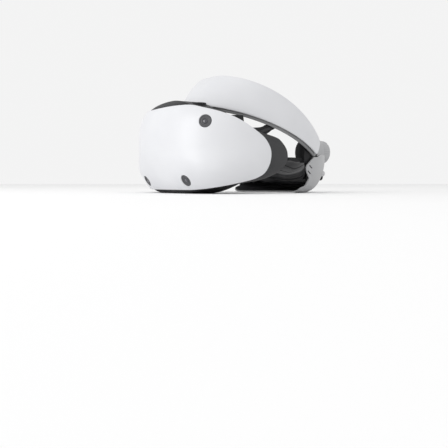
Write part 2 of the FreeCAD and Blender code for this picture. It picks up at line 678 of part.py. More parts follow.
def rear_pad_profile(theta):
    """A scoop: a back rest whose lower lip comes forward and rises towards the sides."""
    share = abs(theta - 180) / 72.0
    lip_r, lip_z = 0.50 + 0.29 * share ** 1.2, 24.0 + 16.0 * share ** 2
    heel_r, heel_z = 0.68 + 0.08 * share, 5.5 + 9.0 * share ** 2
    return [[(0.865, 47), (0.845, 26), (0.80, 12)], [(0.80, 12), (heel_r, heel_z)],
            [(heel_r, heel_z), (lip_r + 0.03, lip_z - 8)], [(lip_r + 0.03, lip_z - 8), (lip_r, lip_z)],
            [(lip_r, lip_z), (0.70 + 0.08 * share, 26 + 15 * share), (0.785, 47)], [(0.785, 47), (0.865, 47)]]


rear_pad = wrap(rear_pad_profile, 108, 252, 13).cut(guide_room).cut(wing_room)
rear_pad = max(rear_pad.Solids, key=lambda s: s.Volume)
node(freeform("rear_pad", rear_pad))

ARM_X = (67.5, 70.5)
ARM_Z = (38.6, 42.6)
beyond_frame = head_prism(1.2, 0, 100).cut(head_prism(0.92, 0, 100))
sweep_room = box_shape((-90, 30, 30), (90, 70, 46))
shell_sweep = head_prism(1.3, 0, 100).cut(head_prism(0.925, 0, 100)).common(sweep_room)
for side, sign in {"left": 1, "right": -1}.items():
    inner_x, outer_x = sorted((sign * ARM_X[0], sign * ARM_X[1]))
    arm = box_shape((inner_x, 18, ARM_Z[0]), (outer_x, 72, ARM_Z[1])).cut(beyond_frame)
    arm = max(arm.cut(rear_solid).cut(rear_inner).cut(rear_pad).Solids, key=lambda s: s.Volume)
    node(freeform("rear_arm_" + side, arm))
    low_x, high_x = sorted((sign * 65.0, sign * 73.5))
    guide = box_shape((low_x, 40, 36.6), (high_x, 56, 62))
    slot = box_shape((inner_x - 0.3, 30, ARM_Z[0] - 0.3), (outer_x + 0.3, 70, ARM_Z[1] + 0.3))
    guide = guide.cut(slot).cut(frame_clear).cut(shell_sweep)
    node(freeform("arm_guide_" + side, max(guide.Solids, key=lambda s: s.Volume)))

dial = doc.addObject("PartDesign::Body", "adjust_dial")
dial_sketch = dial.newObject("Sketcher::SketchObject", "dial_outline")
dial_sketch.AttachmentSupport = (next(f for f in dial.Origin.OriginFeatures if f.Role == "XY_Plane"), [""])
dial_sketch.MapMode = "FlatFace"
dial_sketch.addGeometry(Part.Circle(V(0, 0, 0), V(0, 0, 1), size("dial_radius")), False)
dial_sketch.addGeometry(Part.Circle(V(0, 0, 0), V(0, 0, 1), size("button_radius") + 0.2), False)
dial_pad = dial.newObject("PartDesign::Pad", "dial_pad")
dial_pad.Profile = dial_sketch
dial_pad.setExpression("Length", "Sizes.dial_depth")
dial.Placement = FreeCAD.Placement(V(0, size("dial_back") - size("dial_depth"), dial_z), TURN_TO["Y"])
node(dial)
shaft = cylinder("dial_shaft_rod", "Sizes.shaft_radius", 21, (0, 104, dial_z), "Y")
flange_start = (0, size("dial_back") - size("dial_depth"), dial_z)
flange = cylinder("dial_shaft_flange", "Sizes.button_radius + 0.2", 4, flange_start, "Y")
node(fuse("dial_shaft", shaft, flange))
node(cylinder("band_release_button", "Sizes.button_radius", 7.5, (0, size("dial_back") - 7.9, dial_z), "Y"))

socket = Part.makeCylinder(size("jack_radius") + 1.6, size("jack_length"), jack_at, V(0, 1, 0))
socket = socket.cut(Part.makeCylinder(size("jack_radius"), size("jack_length"), jack_at, V(0, 1, 0)))
node(freeform("earphone_socket", socket))
gland = Part.makeCylinder(size("gland_radius") + 2.0, size("gland_length"), gland_at, V(0, 1, 0))
gland = gland.cut(Part.makeCylinder(size("gland_radius"), size("gland_length"), gland_at, V(0, 1, 0)))
node(freeform("cable_gland", gland))
node(block("audio_board", 16, "Sizes.board_thick", 6.5, (-8, 105.5, 26.5)))

# ---------------------------------------------------------------- checks and export
# the headset is drawn about the wearer's head; its frame's origin is under the middle of its whole length
for item in nodes:
    item.Placement.move(V(0, -size("origin_back"), 0))
doc.recompute()
for item in doc.Objects:
    if {"Invalid", "Error"} & set(item.State):
        raise RuntimeError("failed: " + item.Label)
for item in nodes:
    shape = item.Shape
    if shape.isNull() or not shape.isValid() or not shape.Solids:
        raise RuntimeError("bad shape: " + item.Label)
    shape.exportStep(os.path.join("parts", item.Label + ".step"))
    print("%-26s solids %d, volume %.0f mm3" % (item.Label, len(shape.Solids), shape.Volume))
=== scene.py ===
import bmesh
import bpy
import json
import math
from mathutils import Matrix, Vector


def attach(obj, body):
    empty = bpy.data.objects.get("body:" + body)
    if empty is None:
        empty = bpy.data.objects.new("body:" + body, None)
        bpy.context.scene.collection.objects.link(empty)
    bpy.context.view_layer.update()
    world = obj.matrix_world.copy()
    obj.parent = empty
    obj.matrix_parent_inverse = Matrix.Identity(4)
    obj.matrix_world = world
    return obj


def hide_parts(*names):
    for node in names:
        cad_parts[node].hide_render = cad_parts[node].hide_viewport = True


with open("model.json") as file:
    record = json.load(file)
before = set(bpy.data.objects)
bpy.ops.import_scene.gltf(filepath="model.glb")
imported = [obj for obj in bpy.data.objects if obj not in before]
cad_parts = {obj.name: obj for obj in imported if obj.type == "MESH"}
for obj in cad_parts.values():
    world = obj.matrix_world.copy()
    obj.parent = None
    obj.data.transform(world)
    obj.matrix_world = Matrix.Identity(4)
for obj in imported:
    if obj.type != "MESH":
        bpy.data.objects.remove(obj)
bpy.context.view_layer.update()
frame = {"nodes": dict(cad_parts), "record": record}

MM = 0.001
BACK = 6.5  # the shapes are drawn about the head; the frame origin is this far behind that point, in mm
HEAD_SCALE = 90.0  # mm that one unit of the head's radius share stands for when slopes are measured


def metres(point):
    return (point[0] * MM, (point[1] - BACK) * MM, point[2] * MM)


# ------------------------------------------------------------------ node materials
def new_material(name):
    material = bpy.data.materials.new(name)
    material.use_nodes = True
    tree = material.node_tree
    shader = tree.nodes["Principled BSDF"]
    return material, tree, shader


def texture_noise(tree, scale, detail=3.0, rough=0.55):
    coords = tree.nodes.new("ShaderNodeTexCoord")
    noise = tree.nodes.new("ShaderNodeTexNoise")
    noise.inputs["Scale"].default_value = scale
    noise.inputs["Detail"].default_value = detail
    noise.inputs["Roughness"].default_value = rough
    tree.links.new(coords.outputs["Object"], noise.inputs["Vector"])
    return noise.outputs["Fac"]


def ramp(tree, source, stops):
    node = tree.nodes.new("ShaderNodeValToRGB")
    while len(node.color_ramp.elements) < len(stops):
        node.color_ramp.elements.new(0.5)
    for element, (place, colour) in zip(node.color_ramp.elements, stops):
        element.position = place
        element.color = (*colour, 1.0)
    tree.links.new(source, node.inputs["Fac"])
    return node.outputs["Color"]


def to_range(tree, source, low, high):
    node = tree.nodes.new("ShaderNodeMapRange")
    node.inputs["To Min"].default_value = low
    node.inputs["To Max"].default_value = high
    tree.links.new(source, node.inputs["Value"])
    return node.outputs["Result"]


def bump(tree, shader, source, strength, distance):
    node = tree.nodes.new("ShaderNodeBump")
    node.inputs["Strength"].default_value = strength
    node.inputs["Distance"].default_value = distance
    tree.links.new(source, node.inputs["Height"])
    tree.links.new(node.outputs["Normal"], shader.inputs["Normal"])


def moulded(name, dark, light, rough, grain_scale=900.0, grain=0.15, coat=0.0, blotch=14.0, gloss=0.5):
    """Injection-moulded plastic: slow colour drift, fine grain and uneven gloss."""
    material, tree, shader = new_material(name)
    drift = texture_noise(tree, blotch, 2.0)
    tree.links.new(ramp(tree, drift, [(0.3, dark), (0.7, light)]), shader.inputs["Base Color"])
    smear = texture_noise(tree, blotch * 3.1, 4.0)
    tree.links.new(to_range(tree, smear, rough - 0.05, rough + 0.07), shader.inputs["Roughness"])
    bump(tree, shader, texture_noise(tree, grain_scale, 2.0), grain, 0.0002)
    shader.inputs["Coat Weight"].default_value = coat
    shader.inputs["Specular IOR Level"].default_value = gloss
    shader.inputs["Coat Roughness"].default_value = 0.38
    return material


def soft_skin(name, dark, light, rough, pore_scale=1400.0, depth=0.35):
    """Matte elastomer: tiny pores, faint dust in patches and a soft sheen."""
    material, tree, shader = new_material(name)
    coords = tree.nodes.new("ShaderNodeTexCoord")
    pores = tree.nodes.new("ShaderNodeTexVoronoi")
    pores.inputs["Scale"].default_value = pore_scale
    tree.links.new(coords.outputs["Object"], pores.inputs["Vector"])
    dust = texture_noise(tree, 22.0, 5.0)
    tree.links.new(ramp(tree, dust, [(0.35, dark), (0.75, light)]), shader.inputs["Base Color"])
    tree.links.new(to_range(tree, dust, rough, rough + 0.12), shader.inputs["Roughness"])
    bump(tree, shader, pores.outputs["Distance"], depth, 0.00025)
    shader.inputs["Sheen Weight"].default_value = 0.12
    shader.inputs["Sheen Roughness"].default_value = 0.5
    return material


def ground_metal(name, dark, light, rough):
    material, tree, shader = new_material(name)
    coords = tree.nodes.new("ShaderNodeTexCoord")
    stretch = tree.nodes.new("ShaderNodeMapping")
    stretch.inputs["Scale"].default_value = (60.0, 900.0, 900.0)
    noise = tree.nodes.new("ShaderNodeTexNoise")
    noise.inputs["Scale"].default_value = 1.0
    tree.links.new(coords.outputs["Object"], stretch.inputs["Vector"])
    tree.links.new(stretch.outputs["Vector"], noise.inputs["Vector"])
    brushed = noise.outputs["Fac"]
    tree.links.new(ramp(tree, brushed, [(0.3, dark), (0.7, light)]), shader.inputs["Base Color"])
    tree.links.new(to_range(tree, brushed, rough - 0.06, rough + 0.1), shader.inputs["Roughness"])
    bump(tree, shader, brushed, 0.1, 0.0002)
    shader.inputs["Metallic"].default_value = 1.0
    return material


def coated_glass(name):
    """Dark optical glass with a faint coloured anti-reflection coating."""
    material, tree, shader = new_material(name)
    haze = texture_noise(tree, 40.0, 2.0)
    tint = ramp(tree, haze, [(0.3, (0.020, 0.022, 0.030)), (0.7, (0.034, 0.026, 0.045))])
    tree.links.new(tint, shader.inputs["Base Color"])
    tree.links.new(to_range(tree, haze, 0.03, 0.08), shader.inputs["Roughness"])
    shader.inputs["Coat Weight"].default_value = 1.0
    shader.inputs["Coat Roughness"].default_value = 0.03
    shader.inputs["IOR"].default_value = 1.6
    return material


def circuit(name):
    material, tree, shader = new_material(name)
    coords = tree.nodes.new("ShaderNodeTexCoord")
    traces = tree.nodes.new("ShaderNodeTexBrick")
    traces.inputs["Scale"].default_value = 320.0
    traces.inputs["Color1"].default_value = (0.010, 0.070, 0.035, 1)
    traces.inputs["Color2"].default_value = (0.014, 0.095, 0.048, 1)
    traces.inputs["Mortar"].default_value = (0.05, 0.16, 0.08, 1)
    traces.inputs["Mortar Size"].default_value = 0.03
    tree.links.new(coords.outputs["Object"], traces.inputs["Vector"])
    tree.links.new(traces.outputs["Color"], shader.inputs["Base Color"])
    tree.links.new(to_range(tree, traces.outputs["Fac"], 0.35, 0.5), shader.inputs["Roughness"])
    return material


def ribbed_skin(name, dark, light, rough, width):
    """Pad skin with soft parallel grooves wherever the rib count passes a whole number."""
    material, tree, shader = new_material(name)
    uv = tree.nodes.new("ShaderNodeUVMap")
    uv.uv_map = "ribs"
    split = tree.nodes.new("ShaderNodeSeparateXYZ")
    tree.links.new(uv.outputs["UV"], split.inputs["Vector"])
    wave = tree.nodes.new("ShaderNodeMath")
    wave.operation = "PINGPONG"
    wave.inputs[1].default_value = 0.5
    tree.links.new(split.outputs["Y"], wave.inputs[0])
    groove = tree.nodes.new("ShaderNodeMapRange")
    groove.interpolation_type = "SMOOTHSTEP"
    groove.inputs["From Max"].default_value = width
    tree.links.new(wave.outputs["Value"], groove.inputs["Value"])
    dust = texture_noise(tree, 26.0, 5.0)
    pores = texture_noise(tree, 1500.0, 2.0)
    tree.links.new(ramp(tree, dust, [(0.35, dark), (0.75, light)]), shader.inputs["Base Color"])
    tree.links.new(to_range(tree, dust, rough, rough + 0.12), shader.inputs["Roughness"])
    grooved = tree.nodes.new("ShaderNodeBump")
    grooved.inputs["Strength"].default_value = 0.9
    grooved.inputs["Distance"].default_value = 0.0012
    tree.links.new(groove.outputs["Result"], grooved.inputs["Height"])
    grained = tree.nodes.new("ShaderNodeBump")
    grained.inputs["Strength"].default_value = 0.25
    grained.inputs["Distance"].default_value = 0.0002
    tree.links.new(pores, grained.inputs["Height"])
    tree.links.new(grooved.outputs["Normal"], grained.inputs["Normal"])
    tree.links.new(grained.outputs["Normal"], shader.inputs["Normal"])
    return material


MATERIALS = {
    "white_plastic": moulded("white_shell", (0.64, 0.645, 0.665), (0.69, 0.695, 0.715), 0.40, 1600.0, 0.05,
                             coat=0.12),
    "grey_plastic": moulded("light_grey_shell", (0.37, 0.372, 0.38), (0.42, 0.422, 0.43), 0.42,
                            1500.0, 0.08),
    "black_plastic": moulded("black_moulding", (0.012, 0.012, 0.013), (0.020, 0.020, 0.022), 0.50,
                             1100.0, 0.2, gloss=0.22),
    "dark_grey_plastic": moulded("dark_grey_moulding", (0.13, 0.13, 0.135), (0.17, 0.17, 0.175), 0.45,
                                 1100.0, 0.2),
    "soft_rubber": soft_skin("matte_rubber", (0.030, 0.030, 0.032), (0.040, 0.040, 0.042), 0.62),
    "pad_cover": soft_skin("pad_skin", (0.018, 0.018, 0.020), (0.030, 0.030, 0.032), 0.46, 1000.0, 0.4),
    "optical_glass": coated_glass("coated_glass"),
    "dark_panel": moulded("dark_panel", (0.010, 0.010, 0.014), (0.018, 0.018, 0.024), 0.20, 700.0, 0.05,
                          coat=0.5),
    "steel": ground_metal("ground_steel", (0.42, 0.42, 0.43), (0.60, 0.60, 0.61), 0.30),
    "aluminium": ground_metal("bare_aluminium", (0.55, 0.56, 0.57), (0.72, 0.72, 0.73), 0.35),
    "circuit_board": circuit("circuit_board"),
    "liner_grey": moulded("liner_grey", (0.20, 0.20, 0.205), (0.25, 0.25, 0.255), 0.42, 1100.0, 0.15),
    "camera_ring": moulded("camera_ring", (0.055, 0.056, 0.060), (0.085, 0.086, 0.092), 0.35, 900.0, 0.15),
    "ribbed_pad": ribbed_skin("ribbed_pad", (0.016, 0.016, 0.018), (0.026, 0.026, 0.029), 0.36, 0.16),
}
for part in frame["record"]["subparts"]:
    shown = frame["nodes"][part["node"]]
    shown.data.materials.clear()
    shown.data.materials.append(MATERIALS[part["material_slot"]])


# ------------------------------------------------------------------ mesh helpers
def mesh_object(name, verts, faces):
    """A linked object from points in millimetres."""
    mesh = bpy.data.meshes.new(name)
    mesh.from_pydata([metres(point) for point in verts], [], faces)
    item = bpy.data.objects.new(name, mesh)
    bpy.context.collection.objects.link(item)
    return item


def turn_outward(item):
    """Make all face normals of an object point outward."""
    faced = bmesh.new()
    faced.from_mesh(item.data)
    bmesh.ops.recalc_face_normals(faced, faces=faced.faces)
    faced.to_mesh(item.data)
    faced.free()


def add_piece(name, verts, faces, body, slot_name, replaced=(), material=None, smooth=40.0):
    """Make an object from millimetre points, give it its finish and let it ride on its body."""
    piece = mesh_object(name, verts, faces)
    turn_outward(piece)
    finish_piece(piece, body, slot_name, replaced, material, smooth)
    return piece


def finish_piece(piece, body, slot_name, replaced=(), material=None, smooth=40.0):
    """Give a piece its material, chosen by its slot name unless one is named, smooth shading and its body,
    and hide the nodes it stands for; smooth is the sharp-edge angle.
    """
    piece.data.materials.clear()
    piece.data.materials.append(MATERIALS[material or slot_name])
    piece.data.shade_smooth()
    if smooth:
        piece.data.set_sharp_from_angle(angle=math.radians(smooth))
    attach(piece, body)
    if replaced:
        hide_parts(*replaced)


def quad_skin(loops, closed=False):
    """Points of equal closed loops in a row, and the quads between neighbours."""
    size, count = len(loops[0]), len(loops)
    verts = [point for loop in loops for point in loop]
    faces = []
    for i in range(count if closed else count - 1):
        a, b = i * size, ((i + 1) % count) * size
        for j in range(size):
            k = (j + 1) % size
            faces.append((a + j, a + k, b + k, b + j))
    return verts, faces


def strip_skin(loops):
    """A skin whose loops run out along one row and back along another, with strips over its open ends."""
    verts, faces = quad_skin(loops)
    size = len(loops[0])
    for base in (0, len(verts) - size):
        for j in range(size // 2 - 1):
            quad = (base + j, base + j + 1, base + size - 2 - j, base + size - 1 - j)
            faces.append(quad if base == 0 else quad[::-1])
    return verts, faces


def fan_skin(loops):
    """A skin whose two open ends are closed by a fan round the middle of the loop."""
    verts, faces = quad_skin(loops)
    size = len(loops[0])
    for base in (0, len(verts) - size):
        ring = verts[base:base + size]
        hub = len(verts)
        verts.append(tuple(sum(point[c] for point in ring) / size for c in range(3)))
        for j in range(size):
            faces.append((base + j, base + (j + 1) % size, hub))
    return verts, faces


def add_bevel(piece, width, segments, angle):
    """Round the edges that turn more sharply than an angle; width in mm."""
    bevel = piece.modifiers.new("edge_round", "BEVEL")
    bevel.width = width * MM
    bevel.segments = segments
    bevel.limit_method = "ANGLE"
    bevel.angle_limit = math.radians(angle)


def apply_modifiers(piece):
    """Bake the modifiers of a piece into its mesh."""
    bpy.context.view_layer.update()
    graph = bpy.context.evaluated_depsgraph_get()
    mesh = bpy.data.meshes.new_from_object(piece.evaluated_get(graph))
    old = piece.data
    piece.modifiers.clear()
    piece.data = mesh
    bpy.data.meshes.remove(old)


def cut_away(piece, cutter):
    """Subtract a cutter from a piece and delete the cutter."""
    hole = piece.modifiers.new("hole", "BOOLEAN")
    hole.operation = "DIFFERENCE"
    hole.solver = "EXACT"
    hole.object = cutter
    apply_modifiers(piece)
    bpy.data.objects.remove(cutter)


def lerp(a, b, t):
    return a + (b - a) * t


def smooth_step(low, high, at):
    t = min(max((at - low) / (high - low), 0), 1)
    return t * t * (3 - 2 * t)


def spline(points, at):
    """Catmull-Rom through a sorted table of pairs."""
    n = len(points)
    if at <= points[0][0]:
        return points[0][1]
    if at >= points[-1][0]:
        return points[-1][1]
    i = next(k for k in range(n - 1) if points[k][0] <= at <= points[k + 1][0])
    x0, x1 = points[i][0], points[i + 1][0]
    t = (at - x0) / (x1 - x0)

    def slope(k):
        a, b = points[max(k - 1, 0)], points[min(k + 1, n - 1)]
        return (b[1] - a[1]) / (b[0] - a[0])

    m0, m1 = slope(i) * (x1 - x0), slope(i + 1) * (x1 - x0)
    h00, h10 = 2 * t ** 3 - 3 * t ** 2 + 1, t ** 3 - 2 * t ** 2 + t
    h01, h11 = -2 * t ** 3 + 3 * t ** 2, t ** 3 - t ** 2
    return h00 * points[i][1] + h10 * m0 + h01 * points[i + 1][1] + h11 * m1


def between(table, column, at):
    """Smooth value of one column of a table whose first column rises."""
    return spline([(row[0], row[column]) for row in table], at)


# ------------------------------------------------------------------ visor front shell
HALF_WIDTH, DEPTH, WIDEST_Y, MID = 103.5, 118.5, -6.0, 51.0
UPPER_REACH, UPPER_BEND = 69.5, 3.6  # how far the shell reaches above its fullest section, and how square
LOWER_REACH, LOWER_BEND = 116.5, 1.55
PLAN_POWER, CHIN_EXTRA, CHIN_DROP = 2.8, 1.2, 30.0


def plan_outline(z, inset=0.0):
    """Half width, depth and roundness power of the visor's plan outline at a height."""
    rise = z - MID
    reach, bend = (UPPER_REACH, UPPER_BEND) if rise > 0 else (LOWER_REACH, LOWER_BEND)
    scale = (1 - min(abs(rise) / reach, 1) ** bend) ** (1 / bend)
    power = PLAN_POWER + CHIN_EXTRA * smooth_step(0, CHIN_DROP, -rise)
    return HALF_WIDTH * scale - inset, DEPTH * scale - inset, power


def visor_y(x, z, inset=0.0):
    half, depth, power = plan_outline(z, inset)
    return WIDEST_Y - depth * max(1 - (abs(x) / half) ** power, 0) ** (1 / power)


def visor_x(y, z, inset=0.0):
    half, depth, power = plan_outline(z, inset)
    return half * max(1 - (abs(y - WIDEST_Y) / depth) ** power, 0) ** (1 / power)


# rear rim of the white shell, height against y
RIM = [(4.2, -103), (6.5, -92), (11.2, -70.1), (17, -46.7), (24.7, -35.2), (44, -32), (59.4, -39.2),
       (70.7, -53.6), (80.5, -69.2), (87.3, -83), (94, -100.2), (98, -108), (98.8, -114.5)]
SHELL_WALL = 2.2


def skin_row(z, inset, count, rim_y):
    """Points across the visor at a height, spaced evenly round the turn of its plan outline."""
    half, _, power = plan_outline(z, inset)
    end = visor_x(rim_y, z, inset)
    stop = math.asin(min((end / half) ** (power / 2), 1))
    row = []
    for i in range(count):
        t = 2 * i / (count - 1) - 1
        angle = stop * t
        x = half * math.copysign(abs(math.sin(angle)) ** (2 / power), t)
        x = lerp(x, end * t, 0.35 * (1 - abs(t)))
        row.append((x, visor_y(x, z, inset), z))
    row[0] = (-end, rim_y, z)
    row[-1] = (end, rim_y, z)
    return row


def build_front_shell():
    rows, columns = 64, 96
    loops = []
    for i in range(rows):
        t = i / (rows - 1)
        z = lerp(RIM[0][0], RIM[-1][0], 0.5 - 0.5 * math.cos(math.pi * t))
        rim_y = spline(RIM, z)
        outer = skin_row(z, 0.0, columns, rim_y)
        inner = skin_row(z, SHELL_WALL, columns, rim_y)
        loops.append(outer + inner[::-1])
    verts, faces = strip_skin(loops)
    shell = add_piece("front_shell", verts, faces, "visor", "white_plastic", ["visor_front_shell"])
    add_bevel(shell, 0.7, 3, 50)
    apply_modifiers(shell)
    return shell


CAMERA_RADIUS, CAMERA_GAP = 6.9, 0.35


def camera_spots():
    """Where each camera's axis meets the visor's surface, and the direction it faces."""
    spots, step = {}, 0.5
    for level, (x, z) in {"upper": (76.0, 78.8), "lower": (47.5, 14.5)}.items():
        slope_x = (visor_y(x + step, z) - visor_y(x - step, z)) / (2 * step)
        slope_z = (visor_y(x, z + step) - visor_y(x, z - step)) / (2 * step)
        for side, sign in {"left": 1, "right": -1}.items():
            facing = Vector((sign * slope_x, -1, slope_z)).normalized()
            spots[level + "_" + side] = (Vector((sign * x, visor_y(x, z), z)), facing)
    return spots


def lathe(profile, spot, normal, segments=48):
    """Points and faces of a profile of (radius, height along the normal) pairs turned about an axis."""
    side = normal.orthogonal().normalized()
    up = normal.cross(side)
    loops = []
    for radius, rise in profile:
        ring = []
        for k in range(segments):
            a = 2 * math.pi * k / segments
            ring.append(tuple(spot + normal * rise + (side * math.cos(a) + up * math.sin(a)) * radius))
        loops.append(ring)
    return fan_skin(loops)


def build_cameras(shell):
    """Cut the camera openings and fit a stepped bezel with a domed glass into each."""
    spots = camera_spots()
    bore = CAMERA_RADIUS + CAMERA_GAP
    for spot, normal in spots.values():
        verts, faces = lathe([(bore, -7), (bore, 7)], spot, normal, 64)
        cut_away(shell, mesh_object("cutter", verts, faces))
    shell.data.shade_smooth()
    shell.data.set_sharp_from_angle(angle=math.radians(38))
    # profiles of the bezel and the glass: radius, height above the shell's surface
    rings = [(CAMERA_RADIUS, -7.0), (CAMERA_RADIUS, -0.55), (6.75, -0.25), (6.45, -0.1), (5.9, -0.1),
             (5.7, -0.35), (5.4, -0.75), (4.5, -0.85), (4.35, -0.6), (4.15, -0.5), (3.7, -0.5), (3.5, -0.9),
             (2.8, -1.25), (0.6, -1.25)]
    dome = [(2.75, -1.5), (2.75, -1.05), (2.4, -0.72), (1.8, -0.48), (1.0, -0.33), (0.3, -0.28)]
    for name, (spot, normal) in spots.items():
        verts, faces = lathe(rings, spot, normal)
        add_piece("camera_bezel_" + name, verts, faces, "visor", "black_plastic", ["camera_" + name],
                  "camera_ring", 30)
        verts, faces = lathe(dome, spot, normal, 32)
        add_piece("camera_glass_" + name, verts, faces, "visor", "optical_glass", ["camera_windows"],
                  None, 50)


front_shell = build_front_shell()
build_cameras(front_shell)

# ------------------------------------------------------------------ pieces wrapped round the head
BAND_X, BAND_Y, BAND_CENTRE = 84.0, 96.0, 18.0


def wrap_point(radius, theta, z):
    angle = math.radians(theta)
    return (radius * BAND_X * math.sin(angle), BAND_CENTRE - radius * BAND_Y * math.cos(angle), z)


BAND_END, TAIL_START = 120.0, 114.0


def band_low(theta):
    turn = abs(theta)
    return 104.0 - 56.0 * (turn / TAIL_START) ** 1.9 + 1.02 * max(turn - TAIL_START, 0.0) ** 1.6


def band_top(theta):
    return 139.6 - 70.0 * (abs(theta) / BAND_END) ** 2.6


def band_face(theta, share):
    """Radius share and height on the band's outer face; share 0 is the lower edge, 1 the upper."""
    low, top = band_low(theta), band_top(theta)
    lean = 0.305 - 0.275 * abs(theta) / BAND_END
    sweep = math.radians(90 * share)
    inward = lean * (0.5 * share + 0.5 * (1 - math.cos(sweep)))
    return 1 - inward, low + (top - low) * (0.72 * share + 0.28 * math.sin(sweep))


EDGE_BULGE = 0.35  # how far the rounded edges of a wall stand out, as a share of its thickness


def section_loop(theta, face, depths, shares):
    """Closed section of a wall under a face: outer row, rounded top, inner row, rounded bottom."""
    near, far = depths
    rows = []
    for share in shares:
        r0, z0 = face(theta, max(share - 0.01, 0))
        r1, z1 = face(theta, min(share + 0.01, 1))
        run, rise = (r1 - r0) * HEAD_SCALE, z1 - z0
        length = math.hypot(run, rise)
        r, z = face(theta, share)
        normal = (rise / length / HEAD_SCALE, run / length)
        along = (run / length / HEAD_SCALE, rise / length)
        rows.append((r, z, *normal, *along))
    outer = [(r - near * nr, z + near * nz) for r, z, nr, nz, _, _ in rows]
    inner = [(r - far * nr, z + far * nz) for r, z, nr, nz, _, _ in rows]
    wall = far - near

    def cap(row, direction):
        r, z, nr, nz, tr, tz = row
        points = []
        for a in (45, 90, 135):
            bulge = math.sin(math.radians(a)) * wall * EDGE_BULGE * direction
            depth = near + wall * (0.5 - 0.5 * math.cos(math.radians(a)))
            points.append((r - depth * nr + bulge * tr, z + depth * nz + bulge * tz))
        return points

    return outer + cap(rows[-1], 1) + inner[::-1] + cap(rows[0], -1)[::-1]


def wrap_wall(face, depths, end, steps, columns):
    """Points and faces of a wall that runs round the head from -end to end degrees, with flat ends."""
    loops = []
    shares = [i / (columns - 1) for i in range(columns)]
    for i in range(steps):
        theta = lerp(-end, end, i / (steps - 1))
        loops.append([wrap_point(r, theta, z) for r, z in section_loop(theta, face, depths, shares)])
    verts, faces = quad_skin(loops)
    size = len(loops[0])
    for base in (0, len(verts) - size):
        inner = base + columns + 3
        for j in range(columns - 1):
            faces.append((base + j, base + j + 1, inner + columns - 2 - j, inner + columns - 1 - j))
        faces.append((inner - 4, inner - 3, inner - 2, inner - 1, inner))
        last = base + size
        faces.append((base, inner + columns - 1, last - 1, last - 2, last - 3))
    return verts, faces


BAND_WALL = (0.0, 2.2)  # depths of the band's two faces under its outer surface
LINER_WALL = (2.9, 5.4)

verts, faces = wrap_wall(band_face, BAND_WALL, BAND_END, 150, 22)
add_piece("halo_shell", verts, faces, "headband", "white_plastic", ["band_outer_shell"])


def frame_face(theta, share):
    """The liner follows the band and shows as a narrow lip under its lower edge."""
    r, z = band_face(theta, share)
    lift = 1 - min(share / 0.25, 1)
    return r - 0.004 * lift, z - 3.2 * lift


verts, faces = wrap_wall(frame_face, LINER_WALL, BAND_END - 1, 140, 18)
add_piece("halo_liner", verts, faces, "headband", "dark_grey_plastic", ["band_inner_frame"], "liner_grey")


# ------------------------------------------------------------------ padded pieces
def closed_form(name, loops):
    """A closed object from closed loops."""
    verts, faces = fan_skin(loops)
    piece = mesh_object(name, verts, faces)
    turn_outward(piece)
    return piece


CLOTH_PRESSURE, CLOTH_STEPS = 4.0, 20


def inflate(piece, voxel, most):
    """Remesh the form, swell it with cloth pressure and hold back any point that moves further than most."""
    remesh = piece.modifiers.new("even_skin", "REMESH")
    remesh.mode = "VOXEL"
    remesh.voxel_size = voxel * MM
    apply_modifiers(piece)
    start = [v.co.copy() for v in piece.data.vertices]
    cloth = piece.modifiers.new("swell", "CLOTH")
    cloth.settings.use_pressure = True
    cloth.settings.uniform_pressure_force = CLOTH_PRESSURE
    cloth.settings.effector_weights.gravity = 0.0
    cloth.settings.quality = 5
    cloth.point_cache.frame_start, cloth.point_cache.frame_end = 1, CLOTH_STEPS
    for step in range(1, CLOTH_STEPS + 1):
        bpy.context.scene.frame_set(step)
    apply_modifiers(piece)
    bpy.context.scene.frame_set(1)
    for vertex, home in zip(piece.data.vertices, start):
        move = vertex.co - home
        if move.length > most * MM:
            vertex.co = home + move.normalized() * most * MM
    smooth = piece.modifiers.new("soften", "SMOOTH")
    smooth.factor, smooth.iterations = 0.5, 10
    finer = piece.modifiers.new("finer", "SUBSURF")
    finer.levels = finer.render_levels = 1
    apply_modifiers(piece)


def rib_map(piece, place):
    """UV map whose second coordinate counts the moulded ribs; place(theta, r, z) gives that count."""
    layer = piece.data.uv_layers.new(name="ribs")
    for loop in piece.data.loops:
        x, y, z = (c / MM for c in piece.data.vertices[loop.vertex_index].co)
        y += BACK
        across, fore = x / BAND_X, (BAND_CENTRE - y) / BAND_Y
        theta = math.degrees(math.atan2(across, fore))
        layer.data[loop.index].uv = (theta / 20.0, place(theta, math.hypot(across, fore), z))


# forehead pad: turn from the front, middle height, half height
PAD_RUN = [(0, 98.0, 20.0), (25, 90.0, 17.0), (40, 76.0, 13.5), (50, 69.0, 11.0), (60, 69.5, 8.6),
           (68, 74.0, 7.8), (78, 81.0, 5.6)]
PAD_END, PAD_DRAWN = 78.0, 77.5  # turn where the pad ends, and where it ends before it swells


def forehead_loop(theta):
    """Rounded section of the forehead pad, a little inside the space it finally fills."""
    turn = abs(theta)
    share = turn / PAD_END
    middle, half = between(PAD_RUN, 1, turn), between(PAD_RUN, 2, turn) - 1.0 + 1.2 * share
    face, back = 0.812 + 0.036 * share, 0.888 + 0.014 * share
    loop = []
    points = 40
    for k in range(points):
        a = 2 * math.pi * k / points
        c, d = math.cos(a), math.sin(a)
        z = middle + half * math.copysign(abs(d) ** 0.55, d)
        lean = 0.0016 * max(z - 92, 0)
        swell = math.copysign(abs(c) ** 0.6, c)
        r = (face + back) / 2 + swell * (back - face) / 2
        loop.append(wrap_point(r - lean * (0.5 - 0.5 * swell), theta, z))
    return loop


forehead = closed_form("brow_pad", [forehead_loop(lerp(-PAD_DRAWN, PAD_DRAWN, i / 60)) for i in range(61)])
inflate(forehead, 3.2, 1.6)


def brow_ribs(theta, r, z):
    """Three ribs that run along the pad, evenly spread over its height."""
    turn = min(abs(theta), PAD_END)
    return 1.5 + 1.5 * (z - between(PAD_RUN, 1, turn)) / between(PAD_RUN, 2, turn)


